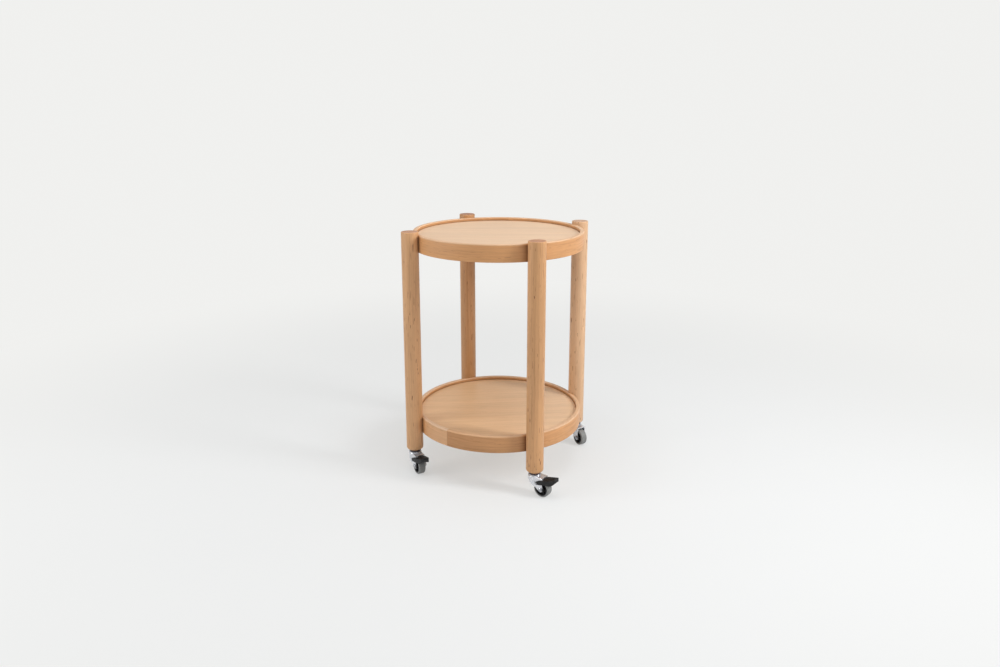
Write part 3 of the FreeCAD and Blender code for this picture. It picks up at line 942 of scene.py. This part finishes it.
@dataclass
class Tray:
    """One tray: the bent hoop, its panel, and the blocks under it."""

    tier: Tier
    veneer: Timber
    grain_angle: float
    # painted light: the share of pale colour toward the side of the panel where the light falls
    side_painted_light: float
    joint_tones: Pair
    radius: float = 0.203
    wall: float = 0.0095
    height: float = 0.040
    edge_round: float = 0.0015
    joint_gap: float = 0.0003
    panel_radius: float = 0.1931
    panel_rise: float = 0.023
    panel_thickness: float = 0.009
    panel_chamfer: float = 0.0005
    # loops: round the tray, in each rounded edge, beside each post where the painted shade fades,
    # and over the panel
    around: int = 300
    edge_steps: int = 4
    nook_loops: tuple[float, ...] = (0.0, 0.4, 0.8)
    panel_loops: tuple[float, ...] = (0.85, 0.7, 0.55, 0.4, 0.25, 0.1)
    # tones: the seam's dark line, partly a dark joint and partly painted shade; painted light on
    # the lip's edge; painted shade on the wall inside it and in the nooks beside the posts
    seam: float = 0.0012
    seam_dark_and_shade: float = -0.45
    lip_painted_light: float = 0.5
    lip_fade: Pair = (2.0, 2.5)  # in edge rounds, inside and outside
    wall_painted_shade: float = -0.10
    post_half: float = 0.0600
    nook_run: float = 0.022
    nook_painted_shade: float = -0.76
    nook_power: float = 1.5
    tone_run: float = 0.28
    # where the boards lie in their logs
    hoop_pith: Pair = (-0.052, 0.061)
    panel_pith: float = 0.058
    log_shift: float = 2.0

    def hoop_outline(self) -> list[Point]:
        """Draws the hoop's section, from its lower inner corner outwards and round.

        Returns:
            Radius, height and tone of each point.
        """
        outer, inner = self.radius, self.radius - self.wall
        low, high, ease = self.tier.level, self.tier.level + self.height, self.edge_round
        seat = low + self.panel_rise + self.panel_thickness
        foot = rounded((outer - ease, low + ease), ease, -90, 0, self.edge_steps)
        lip = rounded((outer - ease, high - ease), ease, 0, 90, self.edge_steps)
        lip += rounded((inner + ease, high - ease), ease, 90, 180, self.edge_steps)
        inside, outside = self.lip_fade
        # painted light on the lip's rounded edges, painted shade on the wall inside, and the seam's
        # dark line, partly a dark joint and partly painted shade
        return [
            (inner, low, 0.0),
            *((r, z, 0.0) for r, z in foot),
            (outer, high - outside * ease, 0.0),
            *((r, z, self.lip_painted_light) for r, z in lip),
            (inner, high - inside * ease, self.wall_painted_shade),
            (inner, seat + 2 * self.seam, self.wall_painted_shade),
            (inner, seat + self.seam, self.seam_dark_and_shade),
            (inner, seat, self.seam_dark_and_shade),
        ]

    def hoop_steps(self) -> list[float]:
        """Spaces the loops round the hoop: evenly, with more beside each post.

        Returns:
            The angles from the hoop's joint, in radians.
        """
        half = self.joint_gap / 2 / self.radius
        sweep = 2 * math.pi - 2 * half
        steps = [half + sweep * step / self.around for step in range(self.around + 1)]
        for corner in Corner:
            for side in (-1, 1):
                for run in self.nook_loops:
                    away = self.post_half + run * self.nook_run / self.radius
                    steps.append((corner.bearing + side * away - self.tier.joint) % (2 * math.pi))
        return sorted(steps)

    def nook(self, angle: float) -> float:
        """Measures how much painted shade a place on the hoop takes in the nook beside a post.

        Args:
            angle: the place's angle about the table, in radians.

        Returns:
            1 at the post, down to 0 at the end of the nook's run.
        """
        nearest = min(abs(math.remainder(angle - corner.bearing, 2 * math.pi)) for corner in Corner)
        away = max(0.0, nearest - self.post_half) * self.radius
        return max(0.0, 1.0 - away / self.nook_run) ** self.nook_power

    def hoop(self) -> bpy.types.Object:
        """Builds the hoop, open at its butt joint.

        Returns:
            The hoop.
        """
        piece = Workpiece()
        outline = self.hoop_outline()
        up, through = self.hoop_pith
        loops = []
        for turned in self.hoop_steps():
            angle = self.tier.joint + turned
            along = turned * self.radius
            near_start = max(0.0, 1.0 - along / self.tone_run)
            near_end = max(0.0, 1.0 - (2 * math.pi * self.radius - along) / self.tone_run)
            shift = near_start * self.joint_tones[0] + near_end * self.joint_tones[1]
            # painted shade in the nooks beside the posts, strongest on the hoop's outer face
            shade = self.nook(angle) * self.nook_painted_shade
            loop = []
            for r, z, tone in outline:
                at = (r * math.cos(angle), r * math.sin(angle), z)
                board = (z - self.tier.level + up, r - self.radius + through, along)
                outside = (r - self.radius + self.wall) / self.wall
                loop += piece.loop([at], [board], tone + shift + shade * outside)
            loops.append(loop)
        for first, second in zip(loops, loops[1:]):
            piece.bridge(first, second)
        piece.face(loops[0][::-1], True)
        piece.face(loops[-1], True)
        name = self.tier.label + "_rim"
        hoop = piece.build("bent_" + name, RIM_TIMBER)
        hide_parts(name)
        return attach(hoop, "table")

    def panel(self) -> bpy.types.Object:
        """Builds the veneered panel inside the hoop.

        Returns:
            The panel.
        """
        piece = Workpiece()
        low = self.tier.level + self.panel_rise
        high = low + self.panel_thickness
        # the panel's edge at the seam is darkened: partly a dark joint, partly painted shade
        outline = [
            (self.panel_radius, low, 0.0),
            (self.panel_radius, high - self.panel_chamfer, self.seam_dark_and_shade),
            (self.panel_radius - self.panel_chamfer, high, self.seam_dark_and_shade),
            (self.panel_radius - self.seam, high, self.seam_dark_and_shade / 2),
            (self.panel_radius - 2 * self.seam, high, 0.0),
        ]
        outline += [(share * self.panel_radius, high, 0.0) for share in self.panel_loops]
        turn = math.radians(self.grain_angle)
        further = self.log_shift * self.tier.level
        loops = []
        for radius, height, tone in outline:
            loop = []
            for k in range(self.around):
                angle = 2 * math.pi * k / self.around
                x, y = radius * math.cos(angle), radius * math.sin(angle)
                across = -x * math.sin(turn) + y * math.cos(turn)
                along = x * math.cos(turn) + y * math.sin(turn)
                board = (across, height - low + self.panel_pith, along + further)
                # painted light: the panel grows paler toward one side, along its grain
                painted_light = self.side_painted_light * min(1.0, max(0.0, along / self.panel_radius))
                loop += piece.loop([(x, y, height)], [board], tone + painted_light)
            loops.append(loop)
        for first, second in zip(loops, loops[1:]):
            piece.bridge(first, second)
        piece.face(loops[0][::-1])
        piece.face(loops[-1])
        name = self.tier.label + "_panel"
        panel = piece.build("veneered_" + name, self.veneer)
        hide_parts(name)
        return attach(panel, "table")

    def build(self) -> list[bpy.types.Object]:
        """Builds the tray and finishes the blocks under it."""
        dress(BLOCK_TIMBER, self.tier.label + "_blocks")
        return [self.hoop(), self.panel()]


@dataclass
class Fixings:
    """What holds trays and posts together: keys, bolts, washers, inserts and screws."""

    timber: tuple[str, ...] = ("rim_keys",)
    plated: tuple[str, ...] = ("tray_bolts", "tray_washers", "tray_inserts", "block_screws")

    def build(self) -> None:
        """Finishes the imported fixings."""
        dress(BLOCK_TIMBER, *self.timber)
        dress(ZINC, *self.plated)


# ---------------------------------------------------------------------------------------
# Castors
# ---------------------------------------------------------------------------------------


@dataclass
class CastorSeats:
    """The parts of all four castors that stay with the posts."""

    plated: tuple[str, ...] = ("castor_sockets", "castor_stems", "castor_washers")
    race: str = "castor_races"
    ring: str = "castor_rings"

    def build(self) -> None:
        """Finishes the stems, races and bearing rings; the races take a dark metal as painted shade
        under the posts.
        """
        dress(ZINC, *self.plated)
        dress(RACE_PAINTED_SHADE, self.race)
        dress(BEARING, self.ring)


@dataclass
class Castor:
    """One castor's fork and wheel, and its brake where it has one."""

    corner: Corner

    def build(self) -> None:
        """Finishes the castor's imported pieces."""
        label = self.corner.label
        dress(CHROME, label + "_fork")
        dress(ZINC, label + "_axle", label + "_axle_nut", label + "_wheel_bush")
        dress(BLACK_PLASTIC, label + "_wheel_core")
        dress(GREY_TREAD, label + "_wheel_tyre")
        if self.corner.braked:
            dress(ZINC, label + "_pedal_pin")
            dress(SPRING, label + "_brake_leaf")
            dress(BLACK_PLASTIC, label + "_brake_pedal")


# ---------------------------------------------------------------------------------------
# Studio
# ---------------------------------------------------------------------------------------


@dataclass
class Lamp:
    """One soft box: where it stands from the camera's side, its size and its strength."""

    name: str
    bearing: float
    distance: float
    height: float
    size: Pair
    power: float
    colour: Colour = (1.0, 1.0, 1.0)
    aim: Point = (0.0, 0.0, 0.32)

    def build(self, view_bearing: float) -> bpy.types.Object:
        """Hangs the lamp.

        Args:
            view_bearing: the camera's angle about the table, in degrees.

        Returns:
            The lamp.
        """
        light = bpy.data.lights.new(self.name, "AREA")
        light.shape = "RECTANGLE"
        light.size, light.size_y = self.size
        light.energy = self.power
        light.color = self.colour
        lamp = bpy.data.objects.new(self.name, light)
        bpy.context.scene.collection.objects.link(lamp)
        angle = math.radians(view_bearing + self.bearing)
        x, y = self.distance * math.sin(angle), -self.distance * math.cos(angle)
        lamp.location = (x, y, self.height)
        lamp.rotation_euler = (Vector(self.aim) - lamp.location).to_track_quat("-Z", "Y").to_euler()
        return lamp


@dataclass
class Studio:
    """Floor, world, lamps and camera."""

    view_bearing: float = 22.83
    distance: float = 1.842
    eye_height: float = 0.8773
    pitch: float = 13.17
    focal_pixels: float = 782.2
    image_width: float = 1000.0
    sensor_width: float = 36.0
    shift: Pair = (0.0015, -0.05)
    backdrop: Colour = (0.875, 0.875, 0.86)
    floor_tint: Colour = (0.765, 0.785, 0.80)
    fade_start: float = 0.3
    fade_end: float = 2.0
    near_share: float = 0.55
    floor_reach: float = 40.0
    floor_sides: int = 64
    cloud_scale: float = 2.2
    cloud_shade: float = 0.97
    world_strength: float = 0.42
    mirrored_bands: tuple[tuple[float, Colour], ...] = (
        (0.00, (0.10, 0.10, 0.11)),
        (0.22, (0.16, 0.16, 0.17)),
        (0.34, (0.80, 0.80, 0.80)),
        (0.60, (0.95, 0.95, 0.95)),
    )
    lamps: list[Lamp] = field(
        default_factory=lambda: [
            Lamp("right_box", 67.0, 2.0, 1.45, (0.45, 1.0), 33.0),
            Lamp("left_box", -72.0, 2.1, 1.0, (0.9, 1.4), 16.0),
            Lamp("top_box", 10.0, 0.5, 2.3, (1.6, 1.6), 17.0),
        ]
    )

    def floor(self) -> bpy.types.Object:
        """Lays the pale floor, which fades into the backdrop's colour far from the table.

        Returns:
            The floor.
        """
        sheet = FinishSheet(bpy.data.materials.new("pale_floor"))
        place = sheet.node("TexCoord", {}).outputs["Object"]
        away = sheet.node("VectorMath", {0: place}, operation="LENGTH").outputs["Value"]
        fade = sheet.band(away, self.fade_start, self.fade_end, self.near_share, 1.0)
        seen = self.seen_directly(sheet)
        glow = sheet.node("Emission", {"Color": self.backdrop, "Strength": 1.0})
        blend = sheet.node("MixShader", {0: sheet.math("MULTIPLY", fade, seen), 2: glow.outputs[0]})
        sheet.links.new(sheet.shader.outputs[0], blend.inputs[1])
        output = next(n for n in sheet.nodes if n.type == "OUTPUT_MATERIAL")
        sheet.links.new(blend.outputs[0], output.inputs[0])
        clouded = tuple(self.cloud_shade * c for c in self.floor_tint)
        tint = sheet.mix(sheet.noise(place, self.cloud_scale, detail=3.0), self.floor_tint, clouded)
        sheet.finish(Base_Color=tint, Roughness=0.75, Specular_IOR_Level=0.2)
        mesh = bpy.data.meshes.new("floor")
        reach, sides = self.floor_reach, self.floor_sides
        angles = [2 * math.pi * k / sides for k in range(sides)]
        ring = [(reach * math.cos(a), reach * math.sin(a), 0.0) for a in angles]
        mesh.from_pydata(ring, [], [tuple(range(sides))])
        mesh.materials.append(sheet.owner)
        floor = bpy.data.objects.new("floor", mesh)
        bpy.context.scene.collection.objects.link(floor)
        return floor

    @staticmethod
    def seen_directly(sheet: FinishSheet) -> Socket:
        """Tells the rays that see the floor itself from those that light it.

        Args:
            sheet: the material being drawn.

        Returns:
            One where a ray comes from the camera, a gloss or a clear surface, else zero.
        """
        path = sheet.node("LightPath", {}).outputs
        rays = sheet.math("ADD", path["Is Camera Ray"], path["Is Glossy Ray"])
        return sheet.math("ADD", rays, path["Is Transmission Ray"], clamp=True)

    def sky(self) -> None:
        """Sets the world.

        It gives soft light on the table, the backdrop's colour where it is seen, and dark and
        light bands for polished metal to mirror.
        """
        world = bpy.data.worlds.new("studio")
        bpy.context.scene.world = world
        sheet = FinishSheet(world)
        path = sheet.node("LightPath", {}).outputs
        place = sheet.node("TexCoord", {}).outputs["Generated"]
        height = sheet.node("SeparateXYZ", {0: place}).outputs[2]
        mirrored = sheet.ramp(height, self.mirrored_bands)
        soft, gloss, shown = (
            sheet.node("Background", {"Color": colour, "Strength": strength}).outputs[0]
            for colour, strength in (
                ((1.0, 1.0, 1.0), self.world_strength),
                (mirrored, 1.0),
                (self.backdrop, 1.0),
            )
        )
        lit = sheet.node("MixShader", {0: path["Is Glossy Ray"], 1: soft, 2: gloss})
        seen = sheet.math("ADD", path["Is Camera Ray"], path["Is Transmission Ray"], clamp=True)
        both = sheet.node("MixShader", {0: seen, 1: lit.outputs[0], 2: shown})
        output = sheet.node("OutputWorld", {0: both.outputs[0]})
        output.is_active_output = True

    def camera(self) -> bpy.types.Object:
        """Sets the camera at the photograph's angle.

        Returns:
            The camera.
        """
        data = bpy.data.cameras.new("view")
        data.sensor_width = self.sensor_width
        data.lens = self.focal_pixels / self.image_width * data.sensor_width
        data.shift_x, data.shift_y = self.shift
        camera = bpy.data.objects.new("view", data)
        bpy.context.scene.collection.objects.link(camera)
        angle = math.radians(self.view_bearing)
        x, y = self.distance * math.sin(angle), -self.distance * math.cos(angle)
        camera.location = (x, y, self.eye_height)
        camera.rotation_euler = (math.radians(90.0 - self.pitch), 0.0, angle)
        bpy.context.scene.camera = camera
        return camera

    def build(self) -> None:
        """Builds the studio round the table."""
        self.floor()
        self.sky()
        for lamp in self.lamps:
            lamp.build(self.view_bearing)
        self.camera()
        bpy.context.scene.view_settings.view_transform = "Standard"


def main() -> None:
    """Builds the table piece by piece, then the studio."""
    logging.basicConfig(level=logging.INFO, format="%(name)s: %(message)s")
    # the pith's place in the blank that each post is turned from, and the post's tone: partly the
    # blank's own, with painted shade darkening the back-left post and painted light paling the
    # back-right one
    blanks = {
        Corner.FRONT_RIGHT: ((0.052, 0.031), 0.03),
        Corner.BACK_RIGHT: ((-0.020, 0.061), 0.36),
        Corner.BACK_LEFT: ((0.045, -0.042), -0.19),
        Corner.FRONT_LEFT: ((-0.058, -0.017), 0.10),
    }
    for corner, (pith, tone) in blanks.items():
        Post(corner, tone, pith).build()
        log.info("post %s", corner.label)
    for tray in (
        Tray(Tier.LOWER, LOWER_VENEER, 28.0, 0.5, (-0.27, 0.18)),
        Tray(Tier.UPPER, UPPER_VENEER, 22.0, 0.0, (-0.07, 0.06)),
    ):
        tray.build()
        log.info("tray %s", tray.tier.label)
    Fixings().build()
    log.info("fixings")
    CastorSeats().build()
    log.info("castor seats")
    for corner in Corner:
        Castor(corner).build()
        log.info("castor %s", corner.label)
    Studio().build()
    log.info("studio")


if __name__ == "__main__":
    main()
